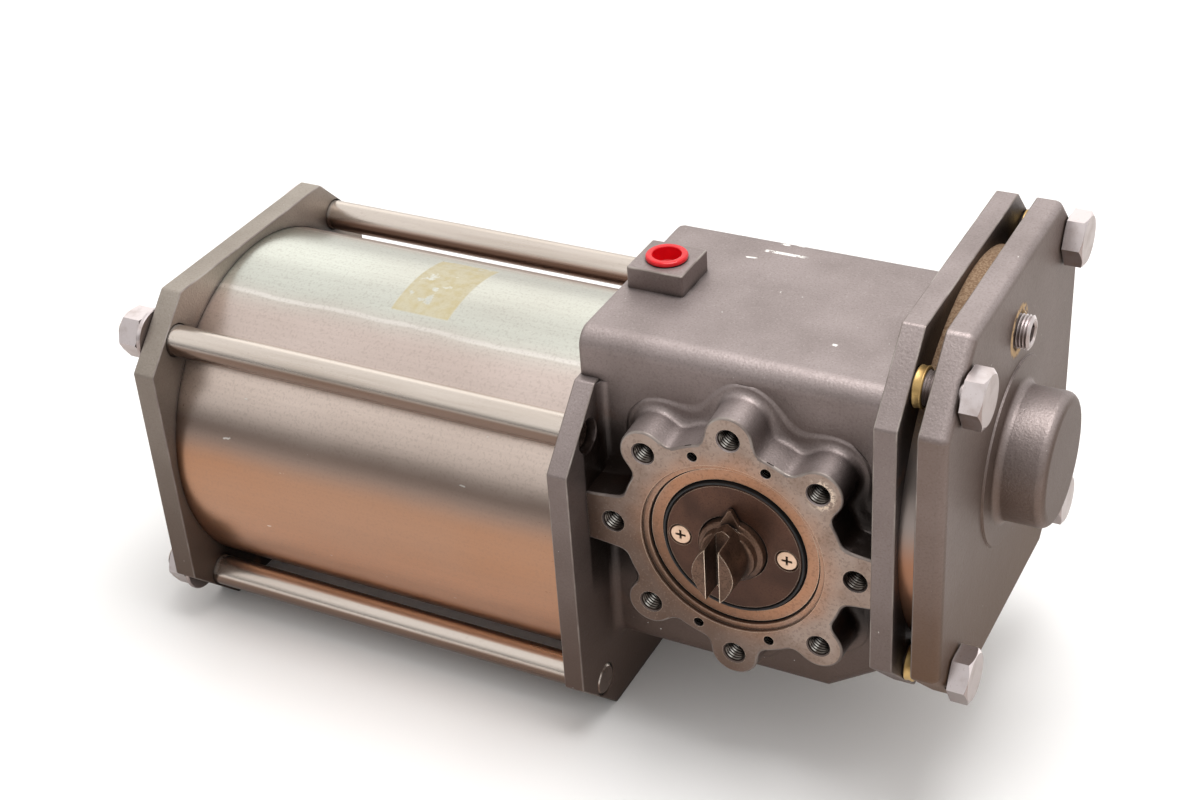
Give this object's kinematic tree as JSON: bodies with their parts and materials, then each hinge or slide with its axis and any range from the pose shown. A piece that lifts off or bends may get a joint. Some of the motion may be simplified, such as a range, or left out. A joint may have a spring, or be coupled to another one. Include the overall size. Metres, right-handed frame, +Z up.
{
  "type": "rotary pneumatic actuator",
  "caption": "Spring-return rack-and-pinion pneumatic actuator: a tie-rod air cylinder turns a quarter-turn output shaft in a flanged gear housing.",
  "frame": {"origin": "centre of the bounding box's bottom face", "axes": "+X along the air cylinder towards the end cover, +Y along the output shaft towards the drive socket, +Z up"},
  "size_m": [0.489, 0.204, 0.267],
  "materials": {
    "cast_steel": "bead-blasted cast stainless steel, grey-brown",
    "machined_steel": "milled stainless plate with bright broken edges",
    "brushed_steel": "satin stainless tube, brushed round its axis",
    "rod_steel": "ground stainless bar, satin",
    "bolt_steel": "plain stainless hex fasteners",
    "dark_steel": "oxidised dark brown alloy steel",
    "screw_steel": "plain stainless cross-head screws",
    "yellow_zinc": "yellow passivated zinc on steel",
    "bronze": "bearing bronze, as machined",
    "black_rubber": "black nitrile rubber",
    "spring_steel": "phosphated spring steel",
    "red_plastic": "glossy red moulded plug"
  },
  "bodies": {
    "actuator_body": {"housing": "cast_steel", "port_cap": "red_plastic", "end_cap": "machined_steel", "cylinder_tube": "brushed_steel", "tube_gasket_left": "black_rubber", "tube_gasket_right": "black_rubber", "breather_plug": "bronze", "spring_seat": "dark_steel", "return_spring": "spring_steel", "inner_spring": "spring_steel", "tie_rod_1": "rod_steel", "rod_washer_1": "bolt_steel", "rod_nut_1": "bolt_steel", "tie_rod_2": "rod_steel", "rod_washer_2": "bolt_steel", "rod_nut_2": "bolt_steel", "tie_rod_3": "rod_steel", "rod_washer_3": "bolt_steel", "rod_nut_3": "bolt_steel", "tie_rod_4": "rod_steel", "rod_washer_4": "bolt_steel", "rod_nut_4": "bolt_steel", "rack_liner_lower": "bronze", "rack_liner_upper": "bronze", "rod_bush": "bronze", "bearing_carrier_front": "machined_steel", "shaft_bush_front": "bronze", "shaft_seal_front": "black_rubber", "retaining_plate_front": "dark_steel", "plate_ring_front": "black_rubber", "plate_screw_front_1": "screw_steel", "plate_screw_front_2": "screw_steel", "bearing_carrier_back": "machined_steel", "shaft_bush_back": "bronze", "shaft_seal_back": "black_rubber", "retaining_plate_back": "dark_steel", "plate_ring_back": "black_rubber", "plate_screw_back_1": "screw_steel", "plate_screw_back_2": "screw_steel", "end_cover": "cast_steel", "spacer_ring": "brushed_steel", "cover_gasket_left": "black_rubber", "cover_gasket_right": "black_rubber", "cover_plug": "bolt_steel", "cover_bolt_1": "bolt_steel", "bolt_collar_1": "yellow_zinc", "cover_bolt_2": "bolt_steel", "bolt_collar_2": "yellow_zinc", "cover_bolt_3": "bolt_steel", "bolt_collar_3": "yellow_zinc", "cover_bolt_4": "bolt_steel", "bolt_collar_4": "yellow_zinc"},
    "piston_and_rack": {"piston": "machined_steel", "piston_wear_ring": "bronze", "piston_seal": "black_rubber", "piston_nut": "bolt_steel", "drive_rack": "rod_steel"},
    "idle_rack": {"idle_rack": "rod_steel"},
    "output_shaft": {"output_shaft": "dark_steel"}
  },
  "joints": [
    {"name": "piston_slide", "type": "slide", "parent": "actuator_body", "child": "piston_and_rack", "axis": [-1, 0, 0], "range_m": [0, 0.0526], "stiffness_N_per_m": 4000, "springref_m": -0.01, "deforming": ["return_spring", "inner_spring"]},
    {"name": "output_shaft_turn", "type": "hinge", "parent": "actuator_body", "child": "output_shaft", "pos_m": [0.10995, 0.002, 0.1335], "axis": [0, 1, 0], "range_deg": [0, 90]},
    {"name": "idle_rack_slide", "type": "slide", "parent": "actuator_body", "child": "idle_rack", "axis": [1, 0, 0], "range_m": [0, 0.0527]}
  ],
  "couplings": [
    {"joint": "output_shaft_turn", "follows": "piston_slide", "rad_per_m": 29.851},
    {"joint": "idle_rack_slide", "follows": "piston_slide", "ratio": 1}
  ]
}
